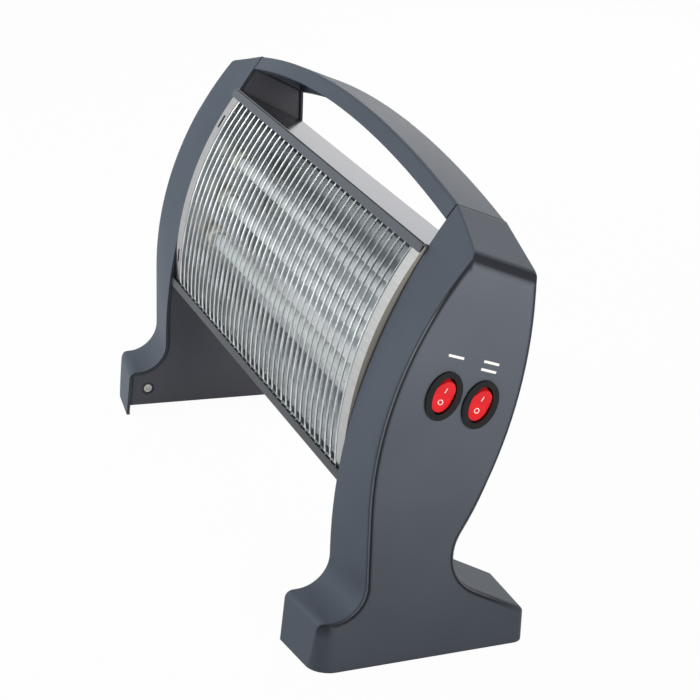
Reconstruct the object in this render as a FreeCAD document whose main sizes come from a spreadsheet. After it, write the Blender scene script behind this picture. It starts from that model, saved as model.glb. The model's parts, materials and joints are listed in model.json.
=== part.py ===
import FreeCAD, Part
import math
import os
import re
import Sketcher

# A quartz heater: two end casings carry an arched handle and a leaning heater box with three tubes.
# Front is -Y, up is +Z, and the switches are on the casing at +X. The origin lies on the floor, midway.

# Lengths are in millimetres and angles in degrees.
SIZES = {
    # whole heater
    "foot_depth": 150.0,
    "inner_half_width": 185.0,
    "overrun": 20.0,
    "clearance": 0.3,
    "running_clearance": 0.06,
    # end casing, seen from its side
    "casing_width": 50.0,
    "casing_wall": 2.2,
    "front_taper": 6.0,
    "foot_height": 35.0,
    "foot_draft": 3.0,
    "foot_curve_share": 0.677,
    "waist_y": -42.5,
    "bow_lift_inner": 5.0,
    "bow_lift_outer": 51.0,
    "bow_overrun": 4.0,
    "shoulder_y": 67.4,
    "shoulder_drop": 32.16,
    "back_radius": 306.0,
    "heel_height": 69.5,
    "heel_curve": 30.5,
    "heel_slope": 28.8,
    "heel_draft": 1.5,
    "toe_round": 5.5,
    "edge_round": 4.0,
    "corner_round": 16.0,
    "heel_round": 8.0,
    # sloping top of the casing, which runs on into the handle
    "ridge_y": 33.5,
    "ridge_height": 284.4,
    "top_slope": 22.8,
    "top_fall": 19.0,
    "top_round": 11.0,
    # inner covers, recessed in the casings
    "cover_recess": 2.0,
    "cover_thickness": 2.5,
    "cover_front_lift": 7.0,
    "cover_rear_lift": 1.0,
    "cover_sink_radius": 5.0,
    "boss_radius": 4.5,
    "cover_screw_radius": 2.0,
    "cover_screw_length": 12.0,
    "cover_screw_head_radius": 3.2,
    "cover_screw_head": 1.6,
    "slot_width": 0.8,
    "slot_length": 3.6,
    "slot_depth": 0.8,
    "cover_screw_front_inset": 18.0,
    "cover_screw_front_z": 20.0,
    "cover_screw_rear_inset": 23.0,
    "cover_screw_rear_z": 17.0,
    "cover_screw_top_y": 40.0,
    "cover_screw_top_z": 150.0,
    # carry handle
    "handle_seam": 0.8,
    "handle_rear_depth": 16.16,
    "handle_rise": 20.0,
    "handle_brow": 1.77,
    "handle_round": 2.0,
    "handle_wall": 3.0,
    "tongue_inset": 6.0,
    "tongue_drop": 9.0,
    "tongue_thickness": 3.0,
    "tongue_reach": 14.0,
    # heater box, in its own leaning frame: Y runs back from the guard and Z runs up along it
    "box_y": -37.0,
    "box_height": 117.0,
    "box_lean": 18.0,
    "box_opening": 142.0,
    "guard_radius": 235.0,
    "sheet": 0.9,
    "rail_lip": 10.0,
    "lip_gap": 4.2,
    "lip_lean": 2.0,
    "rail_shelf": 22.0,
    "reflector_depth": 40.0,
    "reflector_front": 10.0,
    "reflector_margin": 14.0,
    "plate_front": 4.3,
    "plate_gap": 4.0,
    "flange_slot_width": 3.0,
    "flange_slot_length": 10.0,
    "flange_slot_inset": 16.0,
    "return_depth": 11.0,
    "rear_top_depth": 63.0,
    "rear_top_drop": 12.0,
    "rear_low_depth": 69.0,
    "rear_low_rise": 38.0,
    "vent_width": 5.0,
    "vent_length": 46.0,
    "vent_pitch": 15.0,
    "vent_margin": 38.0,
    "plate_inset": 13.0,
    "flange_width": 12.0,
    "post_radius": 4.0,
    "post_depth": 52.0,
    "post_low_rise": 60.0,
    "post_high_rise": 110.0,
    "lead_depth": 34.0,
    "lead_rise": 82.0,
    "lead_hole_radius": 4.0,
    "plate_screw_radius": 1.5,
    "plate_screw_length": 10.0,
    "plate_screw_head_radius": 2.8,
    "plate_screw_head": 1.4,
    # wire guard
    "wire_radius": 0.8,
    "wire_pitch": 9.45,
    "wire_tail": 7.0,
    "wire_depth": 4.5,
    "rod_tail": 5.0,
    "weld_share": 0.8,
    "cross_rod_radius": 1.0,
    # quartz tubes with their coils, caps and terminals
    "tube_pitch": 31.0,
    "tube_set_back": 18.5,
    "tube_radius": 5.5,
    "tube_wall": 1.1,
    "coil_radius": 3.2,
    "cap_radius": 8.0,
    "cap_length": 14.0,
    "cap_spigot_radius": 5.8,
    "cap_spigot": 8.0,
    "cap_socket": 8.0,
    "terminal_radius": 1.2,
    "terminal_reach": 4.0,
    "strip_width": 8.0,
    "strip_thickness": 0.8,
    # rocker switches on the outer face, in a frame that leans with them
    "switch_y": 20.4,
    "switch_height": 177.0,
    "switch_lean": 19.5,
    "switch_pitch": 26.0,
    "bezel_half_width": 11.5,
    "bezel_half_height": 16.0,
    "bezel_thickness": 2.2,
    "switch_half_width": 9.2,
    "switch_half_height": 13.8,
    "switch_depth": 16.0,
    "well_half_width": 7.3,
    "well_half_height": 12.2,
    "well_depth": 11.0,
    "rocker_side_gap": 0.4,
    "rocker_end_gap": 1.3,
    "rocker_half_tilt": 10.0,
    "rocker_axis_depth": 1.6,
    "rocker_valley": 1.6,
    "rocker_belly": 4.2,
    "rocker_pin_radius": 1.5,
    "rocker_pin_reach": 1.4,
    "tab_width": 4.8,
    "tab_thickness": 0.8,
    "tab_reach": 7.0,
    "tab_spread": 8.0,
    # wiring and safety pieces inside the casing with the switches
    "block_length": 24.0,
    "block_width": 10.0,
    "block_height": 14.0,
    "block_y": -30.0,
    "block_z": 8.0,
    "tip_switch_length": 26.0,
    "tip_switch_width": 14.0,
    "tip_switch_height": 18.0,
    "tip_switch_y": 8.0,
    "tip_switch_z": 8.0,
    "bush_radius": 6.0,
    "bush_bore": 3.6,
    "bush_flange": 8.5,
    "bush_flange_thickness": 2.0,
    "bush_y": -4.0,
    "bush_z": 46.0,
}
TUBES = ("lower", "middle", "upper")
SIDES = (("right", 1), ("left", -1))
NEAR = 0.001
X_AXIS = FreeCAD.Vector(1, 0, 0)
Y_AXIS = FreeCAD.Vector(0, 1, 0)
Z_AXIS = FreeCAD.Vector(0, 0, 1)

doc = FreeCAD.newDocument("quartz_heater")
sheet = doc.addObject("Spreadsheet::Sheet", "sizes")
for row, (alias, number) in enumerate(SIZES.items(), start=1):
    sheet.set(f"A{row}", alias)
    sheet.set(f"B{row}", str(number))
    sheet.setAlias(f"B{row}", alias)
gauge = doc.addObject("App::FeaturePython", "gauge")
gauge.addProperty("App::PropertyFloat", "reading")
doc.recompute()

pieces = []


def spelled(expression):
    """Writes each size in an expression with the name of the sheet that holds it."""
    def with_sheet(found):
        word = found.group()
        return f"sizes.{word}" if word in SIZES else word
    return re.sub(r"[a-z_][a-z_0-9]*", with_sheet, expression)


def worth(expression):
    """The number that an expression in the sizes comes to."""
    gauge.setExpression("reading", spelled(expression))
    gauge.recompute()
    if not gauge.isValid():
        raise ValueError(f"no value for {expression}")
    return gauge.reading


def bind(thing, prop, expression):
    thing.setExpression(prop, spelled(expression))


def keep(label, thing):
    """Names a finished piece; its label is the name of its file."""
    thing.Label = label
    pieces.append(thing)
    return thing


def place(thing, x="0", y="0", z="0", lean="0"):
    """Puts a piece, leaning back by an angle about the X axis."""
    thing.Placement.Rotation = FreeCAD.Rotation(X_AXIS, -worth(lean))
    bind(thing, "Placement.Rotation.Angle", f"-({lean})")
    for letter, expression in zip("xyz", (x, y, z)):
        bind(thing, f"Placement.Base.{letter}", expression)
    return thing


def in_box(thing):
    """Puts a piece that was drawn in the leaning frame of the heater box."""
    return place(thing, "0", "box_y", "box_height", "box_lean")


def new_sketch(body, role, offset="0"):
    sketch = body.newObject("Sketcher::SketchObject", f"{body.Name}_outline")
    plane = next(feature for feature in body.Origin.OriginFeatures if feature.Role == role)
    sketch.AttachmentSupport = [(plane, "")]
    sketch.MapMode = "FlatFace"
    bind(sketch, "AttachmentOffset.Base.z", offset)
    return sketch


def hold(sketch, kind, line, end, expression):
    """Holds one coordinate of a line's end at the value of an expression."""
    index = sketch.addConstraint(Sketcher.Constraint(kind, -1, 1, line, end, worth(expression)))
    bind(sketch, f"Constraints[{index}]", expression)


def draw(sketch, corners, closed=True):
    """Draws an outline through corners (across, up) or (across, up, radius, side of the arc that leaves it).

    Side 1 puts the centre of the arc on the left of the way from corner to corner, and -1 on the right.
    """
    points = [FreeCAD.Vector(worth(corner[0]), worth(corner[1]), 0) for corner in corners]
    stretches = []
    for index in range(len(corners) if closed else len(corners) - 1):
        start, stop = points[index], points[(index + 1) % len(points)]
        if len(corners[index]) == 2:
            line = sketch.addGeometry(Part.LineSegment(start, stop), False)
            stretches.append((line, 1, 2))
            continue
        radius, side = worth(corners[index][2]), corners[index][3]
        chord = stop - start
        left = FreeCAD.Vector(-chord.y, chord.x, 0).normalize()
        height = math.sqrt(radius ** 2 - (chord.Length / 2) ** 2)
        centre = (start + stop) * 0.5 + left * (side * height)
        first, last = (start, stop) if side > 0 else (stop, start)
        angles = [math.atan2(point.y - centre.y, point.x - centre.x) for point in (first, last)]
        circle = Part.Circle(centre, Z_AXIS, radius)
        arc = sketch.addGeometry(Part.ArcOfCircle(circle, *angles), False)
        stretches.append((arc, 1, 2) if side > 0 else (arc, 2, 1))
        bound = sketch.addConstraint(Sketcher.Constraint("Radius", arc, radius))
        bind(sketch, f"Constraints[{bound}]", corners[index][2])
    for index, (line, begin, end) in enumerate(stretches):
        if closed or index:
            before, _, before_end = stretches[index - 1]
            sketch.addConstraint(Sketcher.Constraint("Coincident", before, before_end, line, begin))
        hold(sketch, "DistanceX", line, begin, corners[index][0])
        hold(sketch, "DistanceY", line, begin, corners[index][1])
    if not closed:
        hold(sketch, "DistanceX", line, end, corners[-1][0])
        hold(sketch, "DistanceY", line, end, corners[-1][1])
    return sketch


def prism(label, role, corners, length, offset="0", midplane=False, reverse=False):
    """A pad of a closed outline that is drawn on one of the three main planes."""
    body = doc.addObject("PartDesign::Body", label)
    sketch = draw(new_sketch(body, role, offset), corners)
    pad = body.newObject("PartDesign::Pad", f"{label}_pad")
    pad.Profile = sketch
    bind(pad, "Length", length)
    pad.Midplane = midplane
    pad.Reversed = reverse
    return body


def rod(label, radius, length, axis=(1, 0, 0), at=("0", "0", "0")):
    """A round bar along an axis, from one end."""
    bar = doc.addObject("Part::Cylinder", label)
    bind(bar, "Radius", radius)
    bind(bar, "Height", length)
    bar.Placement.Rotation = FreeCAD.Rotation(Z_AXIS, FreeCAD.Vector(*axis))
    for letter, expression in zip("xyz", at):
        bind(bar, f"Placement.Base.{letter}", expression)
    return bar


def block(label, size, at):
    """A plain box with one corner at a place."""
    box = doc.addObject("Part::Box", label)
    for prop, expression in zip(("Length", "Width", "Height"), size):
        bind(box, prop, expression)
    for letter, expression in zip("xyz", at):
        bind(box, f"Placement.Base.{letter}", expression)
    return box


def joined(label, things):
    if len(things) == 1:
        return things[0]
    fuse = doc.addObject("Part::MultiFuse", label)
    fuse.Shapes = things
    return fuse


def overlap(label, things):
    common = doc.addObject("Part::MultiCommon", label)
    common.Shapes = things
    return common


def cut(label, base, tools):
    result = doc.addObject("Part::Cut", label)
    result.Base = base
    result.Tool = joined(f"{label}_tools", tools)
    return result


def group(label, things):
    """Separate solids that share one node."""
    compound = doc.addObject("Part::Compound", label)
    compound.Links = things
    return compound


def mirrored(label, source):
    mirror = doc.addObject("Part::Mirroring", label)
    mirror.Source = source
    mirror.Normal = X_AXIS
    return mirror


def sheet_metal(label, corners, length, inward=1):
    """A bent sheet: an open outline across the box, thickened to one side and drawn out along X."""
    body = doc.addObject("PartDesign::Body", f"{label}_line")
    sketch = draw(new_sketch(body, "YZ_Plane"), corners, closed=False)
    strip = doc.addObject("Part::Offset2D", f"{label}_strip")
    strip.Source = sketch
    strip.Mode = "Skin"
    strip.Join = "Intersection"
    strip.Fill = True
    bind(strip, "Value", f"{inward} * sheet")
    drawn = doc.addObject("Part::Extrusion", label)
    drawn.Base = strip
    drawn.DirMode = "Custom"
    drawn.Dir = X_AXIS
    drawn.Symmetric = True
    drawn.Solid = True
    bind(drawn, "LengthFwd", length)
    return drawn


OUTER_FACE = "(inner_half_width + casing_width)"
COVER_FACE = "(inner_half_width + cover_recess)"
COVER_BACK = f"({COVER_FACE} + cover_thickness)"
PLATE_X = "(inner_half_width - plate_inset)"


FOOT_CURVE = "((foot_depth / 2 + waist_y) * foot_curve_share)"
CAP_HEIGHT = "(ridge_height + 2 * overrun)"
REAR_TOP = "(ridge_height - tan(top_slope) * (shoulder_y - ridge_y))"
SHOULDER_HEIGHT = f"({REAR_TOP} - shoulder_drop)"
BACK_SWEEP = f"(asin(({SHOULDER_HEIGHT} - heel_height) / (back_radius + heel_curve)) / 1 deg)"


def angle(rise, run):
    """The angle of a slope in degrees, as an expression."""
    return f"(atan(({rise}) / ({run})) / 1 deg)"


def share_at(x):
    """How far a place along X lies from the casing's inner rim towards its outer face, from 0 to 1."""
    return f"(({x} - inner_half_width) / casing_width)"


def bow_at(x):
    """The start, radius and sweep up to the ridge of the casing's bowed front, at a place along X."""
    start = (f"(foot_height + {FOOT_CURVE} + bow_lift_inner"
             f" + (bow_lift_outer - bow_lift_inner) * {share_at(x)})")
    back = "(ridge_y - waist_y)"
    rise = f"(ridge_height - {start})"
    radius = f"(({back} ^ 2 + {rise} ^ 2) / (2 * {back}))"
    return start, radius, f"(2 * {angle(back, rise)})"


def casing_outline(x, inset, sole=("0", "0")):
    """The side of a casing at a place along X: sole, heel, back, top cap, bowed front and instep."""
    taper = f"(front_taper * {share_at(x)})"
    bow_start, bow_radius, ridge_sweep = bow_at(x)
    bow_sweep = f"({ridge_sweep} + bow_overrun)"
    bow_inside = f"({bow_radius} - {inset})"
    bow_end = f"({taper} + waist_y + {bow_radius} - {bow_inside} * cos({bow_sweep}))"
    front = f"(-foot_depth / 2 + {taper})"
    waist = f"(waist_y + {taper})"
    heel_centre_y = f"(shoulder_y - back_radius + (back_radius + heel_curve) * cos({BACK_SWEEP}))"
    heel_y = f"({heel_centre_y} - (heel_curve + {inset}) * sin(heel_slope))"
    heel_z = f"(heel_height - (heel_curve + {inset}) * cos(heel_slope))"
    toe_y = f"(foot_depth / 2 - heel_draft - {inset})"
    toe_z = f"({heel_z} - ({toe_y} - {heel_y}) * tan(heel_slope))"
    instep = f"(foot_height - {inset})"
    return [
        (f"{front} + {inset} + foot_draft * ({sole[0]}) / {instep}", sole[0]),
        (f"foot_depth / 2 - {inset} - heel_draft * ({sole[1]}) / {toe_z}", sole[1]),
        (toe_y, toe_z),
        (heel_y, heel_z, f"heel_curve + {inset}", -1),
        (f"shoulder_y - back_radius + (back_radius - {inset}) * cos({BACK_SWEEP})",
         f"{SHOULDER_HEIGHT} - (back_radius - {inset}) * sin({BACK_SWEEP})", f"back_radius - {inset}", 1),
        (f"shoulder_y - {inset}", SHOULDER_HEIGHT),
        (f"shoulder_y - {inset}", CAP_HEIGHT),
        (bow_end, CAP_HEIGHT),
        (bow_end, f"{bow_start} + {bow_inside} * sin({bow_sweep})", bow_inside, 1),
        (f"{waist} + {inset}", bow_start),
        (f"{waist} + {inset}", f"foot_height + {FOOT_CURVE}", f"{FOOT_CURVE} + {inset}", -1),
        (f"{waist} - {FOOT_CURVE}", instep),
        (f"{front} + foot_draft + {inset}", instep),
    ]


def casing_loft(label, inset, start, stop, sole):
    """The solid between the casing's outlines at its inner rim and at its outer face."""
    body = doc.addObject("PartDesign::Body", f"{label}_outlines")
    loft = doc.addObject("Part::Loft", label)
    loft.Sections = [draw(new_sketch(body, "YZ_Plane", x), casing_outline(x, inset, sole))
                     for x in (start, stop)]
    loft.Solid = True
    loft.Ruled = True
    return loft


def crossing_edges(shape, places):
    """Numbers of the edges across the casing that pass nearest to (y, z) places on its inner rim."""
    crossing = [(number, edge) for number, edge in enumerate(shape.Edges, start=1)
                if edge.BoundBox.XLength > worth("casing_width / 2")]
    numbers = []
    for y, z in places:
        point = Part.Vertex(worth("inner_half_width"), worth(y), worth(z))
        numbers.append(min(crossing, key=lambda item: item[1].distToShape(point)[0])[0])
    return numbers


def rim_edges(shape, x):
    """Numbers of the edges of the flat end at x, but for those of the sole and the cap."""
    numbers = []
    for number, edge in enumerate(shape.Edges, start=1):
        box = edge.BoundBox
        in_plane = max(abs(box.XMin - x), abs(box.XMax - x)) < NEAR
        if in_plane and box.ZMax > NEAR and box.ZMin < worth(CAP_HEIGHT) - NEAR:
            numbers.append(number)
    return numbers


def rounded(label, base, numbers, radius):
    """Rounds the numbered edges of a solid."""
    fillet = doc.addObject("Part::Fillet", label)
    fillet.Base = base
    fillet.Edges = [(number, worth(radius), worth(radius)) for number in numbers]
    doc.recompute()
    return fillet


def top_form(label, inset):
    """The sloping top with its large outer round, as a prism along the slope."""
    side_slope = angle("top_fall * cos(top_slope)", "casing_width")
    ease = f"((top_round - {inset}) * tan((90 - {side_slope}) / 2))"
    outer = f"({OUTER_FACE} - {inset})"
    corner = f"(-tan({side_slope}) * ({outer} - inner_half_width) - {inset} / cos({side_slope}))"
    corners = [
        ("0", f"-{CAP_HEIGHT}"),
        (outer, f"-{CAP_HEIGHT}"),
        (outer, f"{corner} - {ease}", f"top_round - {inset}", 1),
        (f"{outer} - {ease} * cos({side_slope})", f"{corner} + {ease} * sin({side_slope})"),
        ("0", f"{corner} + tan({side_slope}) * {outer}"),
    ]
    form = prism(label, "XZ_Plane", corners, "4 * foot_depth", midplane=True)
    return place(form, "0", "ridge_y", "ridge_height", "top_slope")


def plan_form(label, inset, floor):
    """The casing seen from above, with the rounded outer corners of its foot, standing on a level."""
    slant = angle("front_taper", "casing_width")
    outer = f"({OUTER_FACE} - {inset})"
    front = f"(-foot_depth / 2 + front_taper + {inset})"
    rear = f"(max(foot_depth / 2; shoulder_y) - {inset})"
    radius = f"(corner_round - {inset})"
    heel = f"(heel_round - {inset})"
    ease = f"({radius} * tan((90 - {slant}) / 2))"
    corners = [
        ("0", f"{front} - {outer} * tan({slant})"),
        (f"{outer} - {ease} * cos({slant})", f"{front} - {ease} * sin({slant})", radius, 1),
        (outer, f"{front} + {ease}"),
        (outer, f"{rear} - {heel}", heel, 1),
        (f"{outer} - {heel}", rear),
        ("0", rear),
    ]
    return prism(label, "XY_Plane", corners, f"{CAP_HEIGHT} - {floor}", floor)


def oval(label, half_width, half_height, start, length):
    """An upright elliptical bar along X, in the frame of a switch."""
    ellipse = doc.addObject("Part::Ellipse", f"{label}_edge")
    bind(ellipse, "MajorRadius", half_height)
    bind(ellipse, "MinorRadius", half_width)
    ellipse.Placement.Rotation = FreeCAD.Rotation(Z_AXIS, -X_AXIS)
    bind(ellipse, "Placement.Base.x", start)
    bar = doc.addObject("Part::Extrusion", label)
    bar.Base = ellipse
    bar.DirMode = "Custom"
    bar.Dir = X_AXIS
    bar.Solid = True
    bind(bar, "LengthFwd", length)
    return bar


def at_switch(thing, side, x="0"):
    """Puts a piece at one of the two switches: side -1 is the front one and 1 the rear one."""
    along = f"{side} * switch_pitch / 2"
    return place(thing, x, f"switch_y + {along} * cos(switch_lean)",
                 f"switch_height - {along} * sin(switch_lean)", "switch_lean")


SWITCHES = (("front", -1), ("rear", 1))
COVER_SCREWS = {
    "front": ("(-foot_depth / 2 + cover_screw_front_inset)", "cover_screw_front_z"),
    "rear": ("(foot_depth / 2 - cover_screw_rear_inset)", "cover_screw_rear_z"),
    "top": ("cover_screw_top_y", "cover_screw_top_z"),
}
CROSS_SLOTS = (("upright", "slot_width", "slot_length"), ("level", "slot_length", "slot_width"))


# end casings
BELOW_FLOOR = "(-overrun)"
form = casing_loft("casing_form", "0", "inner_half_width", OUTER_FACE, (BELOW_FLOOR, BELOW_FLOOR))
doc.recompute()
rim_outline = casing_outline("inner_half_width", "0")
toe_edges = crossing_edges(form.Shape, [rim_outline[-1], rim_outline[2]])
toes = rounded("casing_toes", form, toe_edges, "toe_round")
eased = rounded("casing_eased", toes, rim_edges(toes.Shape, worth(OUTER_FACE)), "edge_round")
outside = overlap("casing_outside", [
    eased,
    top_form("casing_top", "0"),
    plan_form("casing_plan", "0", "0"),
])
hollow = overlap("casing_hollow", [
    casing_loft("hollow_form", "casing_wall", "(inner_half_width - clearance)",
                f"({OUTER_FACE} - casing_wall)", (BELOW_FLOOR, BELOW_FLOOR)),
    top_form("hollow_top", "casing_wall"),
    plan_form("hollow_plan", "casing_wall", BELOW_FLOOR),
])
shell = cut("casing_shell", outside, [hollow])
boss_length = f"{OUTER_FACE} - casing_wall / 2 - {COVER_BACK}"
bosses, pilots = [], []
for spot, screw_place in COVER_SCREWS.items():
    seat = (COVER_BACK,) + screw_place
    bosses.append(rod(f"boss_{spot}", "boss_radius", boss_length, at=seat))
    pilots.append(rod(f"pilot_{spot}", "cover_screw_radius + clearance", "cover_screw_length", at=seat))
blank = cut("casing_blank", joined("casing_with_bosses", [shell] + bosses), pilots)
windows = []
for name, side in SWITCHES:
    window = oval(f"window_{name}", "switch_half_width + clearance", "switch_half_height + clearance",
                  "-overrun", "2 * overrun")
    windows.append(at_switch(window, side, OUTER_FACE))
keep("casing_right", cut("casing_switched", blank, windows))
keep("casing_left", mirrored("casing_mirrored", blank))

# arched handle, drawn along a flat arc between the casings
RIM_BOW_START, RIM_BOW_RADIUS, RIM_RIDGE_SWEEP = bow_at("inner_half_width")
HANDLE_SWEEP = f"({RIM_RIDGE_SWEEP} - handle_brow)"
HANDLE_FRONT_Y = f"(waist_y + {RIM_BOW_RADIUS} - {RIM_BOW_RADIUS} * cos({HANDLE_SWEEP}))"
HANDLE_FRONT_HEIGHT = f"({RIM_BOW_START} + {RIM_BOW_RADIUS} * sin({HANDLE_SWEEP}))"
ARCH_RADIUS = "((inner_half_width ^ 2 + handle_rise ^ 2) / (2 * handle_rise))"
HANDLE_REAR_HEIGHT = f"({REAR_TOP} - handle_rear_depth)"
HANDLE_HALF = "(inner_half_width - handle_seam)"


def arch_rise(half_length):
    """Height of the handle's arc above its centre, at a distance from the middle."""
    return f"sqrt({ARCH_RADIUS} ^ 2 - ({half_length}) ^ 2)"


def arched(label, corners, half_length):
    """A solid with a section drawn along the handle's arch, keeping upright."""
    body = doc.addObject("PartDesign::Body", label)
    section = draw(new_sketch(body, "YZ_Plane", f"-({half_length})"), corners)
    rise = arch_rise(half_length)
    spine = new_sketch(body, "XZ_Plane")
    draw(spine, [(f"-({half_length})", rise, ARCH_RADIUS, -1), (half_length, rise)], closed=False)
    pipe = body.newObject("PartDesign::AdditivePipe", f"{label}_sweep")
    pipe.Profile = section
    pipe.Spine = (spine, ["Edge1"])
    pipe.Mode = "Fixed"
    return body


rear_ease = "(handle_round * tan((90 - top_slope) / 2))"
brow = angle(f"ridge_height - {HANDLE_FRONT_HEIGHT}", f"ridge_y - {HANDLE_FRONT_Y}")
ridge_ease = f"(handle_round * tan(({brow} + top_slope) / 2))"
arch = arched("arch", [
    (HANDLE_FRONT_Y, HANDLE_FRONT_HEIGHT),
    ("shoulder_y", HANDLE_REAR_HEIGHT),
    ("shoulder_y", f"{REAR_TOP} - {rear_ease}", "handle_round", 1),
    (f"shoulder_y - {rear_ease} * cos(top_slope)", f"{REAR_TOP} + {rear_ease} * sin(top_slope)"),
    (f"ridge_y + {ridge_ease} * cos(top_slope)", f"ridge_height - {ridge_ease} * sin(top_slope)",
     "handle_round", 1),
    (f"ridge_y - {ridge_ease} * cos({brow})", f"ridge_height - {ridge_ease} * sin({brow})"),
], HANDLE_HALF)
hollow_half = f"{HANDLE_HALF} - handle_wall"
hollow_lift = f"({arch_rise(hollow_half)} - {arch_rise(HANDLE_HALF)})"
under_top = f"(ridge_height - handle_wall / cos(top_slope) + {hollow_lift})"
trough = arched("handle_trough", [
    ("ridge_y + handle_wall", f"{HANDLE_REAR_HEIGHT} - overrun"),
    ("shoulder_y - handle_wall", f"{HANDLE_REAR_HEIGHT} - overrun"),
    ("shoulder_y - handle_wall", f"{under_top} - tan(top_slope) * (shoulder_y - handle_wall - ridge_y)"),
    ("ridge_y + handle_wall", f"{under_top} - tan(top_slope) * handle_wall"),
], hollow_half)


def tongue_line(y, drop):
    """A point across a tongue, at a depth below the sloping top."""
    return (y, f"ridge_height - tan(top_slope) * ({y} - ridge_y) - ({drop})")


tongue_front = "(ridge_y + tongue_inset)"
tongue_rear = "(shoulder_y - tongue_inset)"
tongue_outline = [
    tongue_line(tongue_front, "tongue_drop + tongue_thickness"),
    tongue_line(tongue_rear, "tongue_drop + tongue_thickness"),
    tongue_line(tongue_rear, "tongue_drop"),
    tongue_line(tongue_front, "tongue_drop"),
]
tongues = [prism(f"tongue_{name}", "YZ_Plane", tongue_outline, "handle_wall + tongue_reach",
                 f"{sign} * (inner_half_width - handle_wall)", reverse=sign < 0) for name, sign in SIDES]
keep("handle", joined("handle_with_tongues", [cut("handle_hollowed", arch, [trough])] + tongues))

# inner covers with posts for the heater box
POSTS = (("low", "post_low_rise"), ("high", "post_high_rise"))
UNDERSIDE = f"(({HANDLE_REAR_HEIGHT} - {HANDLE_FRONT_HEIGHT}) / (shoulder_y - {HANDLE_FRONT_Y}))"


def under_handle(y):
    """A point just below the underside of the handle's ends."""
    return (y, f"{HANDLE_REAR_HEIGHT} - clearance + {UNDERSIDE} * ({y} - shoulder_y)")


def from_box(depth, rise):
    """Where a place in the leaning frame of the heater box lies, from front to back and up."""
    return (f"box_y + {depth} * cos(box_lean) + {rise} * sin(box_lean)",
            f"box_height - {depth} * sin(box_lean) + {rise} * cos(box_lean)")


PLATE_OUTSIDE = f"({PLATE_X} + sheet)"
cover_outline = casing_outline(COVER_BACK, "(casing_wall + clearance)",
                               ("cover_front_lift", "cover_rear_lift"))
panel = prism("cover_panel", "YZ_Plane", cover_outline, "cover_thickness", COVER_FACE)
above = prism("cover_above", "YZ_Plane", [
    under_handle("-foot_depth"), under_handle("foot_depth"),
    ("foot_depth", f"2 * {CAP_HEIGHT}"), ("-foot_depth", f"2 * {CAP_HEIGHT}"),
], "2 * overrun", "inner_half_width - overrun")
posts, cover_holes = [], []
for name, rise in POSTS:
    seat = (PLATE_OUTSIDE,) + from_box("post_depth", rise)
    posts.append(rod(f"post_{name}", "post_radius", f"{COVER_BACK} - {PLATE_OUTSIDE}", at=seat))
    pilot = rod(f"post_pilot_{name}", "plate_screw_radius + clearance", "plate_screw_length", at=seat)
    cover_holes.append(pilot)
for spot, screw_place in COVER_SCREWS.items():
    seat = (COVER_FACE,) + screw_place
    cover_holes.append(rod(f"cover_hole_{spot}", "cover_screw_radius + clearance", "overrun", at=seat))
    sink = rod(f"cover_sink_{spot}", "cover_sink_radius", "cover_screw_head", at=seat)
    cover_holes.append(sink)
trimmed = cut("cover_trimmed", panel, [above])
cover_blank = cut("cover_blank", joined("cover_with_posts", [trimmed] + posts), cover_holes)
bush_hole = rod("bush_hole", "bush_radius + clearance", "overrun",
                at=("inner_half_width", "bush_y", "bush_z"))
lead_hole = rod("lead_hole", "lead_hole_radius", "overrun",
                at=("inner_half_width",) + from_box("lead_depth", "lead_rise"))
keep("cover_right", cut("cover_pierced", cover_blank, [bush_hole, lead_hole]))
keep("cover_left", mirrored("cover_mirrored", cover_blank))
cover_screws = []
for side_name, sign in SIDES:
    face = f"{sign} * {COVER_FACE}"
    for spot, (y, z) in COVER_SCREWS.items():
        tag = f"{spot}_{side_name}"
        seat = (face, y, z)
        inward = (sign, 0, 0)
        screw = joined(f"cover_screw_solid_{tag}", [
            rod(f"cover_screw_head_{tag}", "cover_screw_head_radius", "cover_screw_head", inward, seat),
            rod(f"cover_screw_shank_{tag}", "cover_screw_radius", "cover_screw_length", inward, seat),
        ])
        cross = []
        for turn, wide, tall in CROSS_SLOTS:
            corner = (f"{face} - slot_depth", f"{y} - {wide} / 2", f"{z} - {tall} / 2")
            cross.append(block(f"cover_screw_slot_{tag}_{turn}", ("2 * slot_depth", wide, tall), corner))
        cover_screws.append(cut(f"cover_screw_{tag}", screw, cross))
keep("cover_screws", group("cover_screw_set", cover_screws))

# sheet metal of the heater box, in its leaning frame
TOP_FALL = "(rear_top_drop / (rear_top_depth - lip_lean))"
LOW_RISE = "(rear_low_rise / (rear_low_depth - lip_lean))"
SHEET_LENGTH = "2 * (inner_half_width - clearance)"


def top_line(depth):
    """A point on the sloping top of the box."""
    return (depth, f"box_opening + rail_lip - {TOP_FALL} * ({depth} - lip_lean)")


def low_line(depth):
    """A point on the rising underside of the box."""
    return (depth, f"-rail_lip + {LOW_RISE} * ({depth} - lip_lean)")


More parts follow.
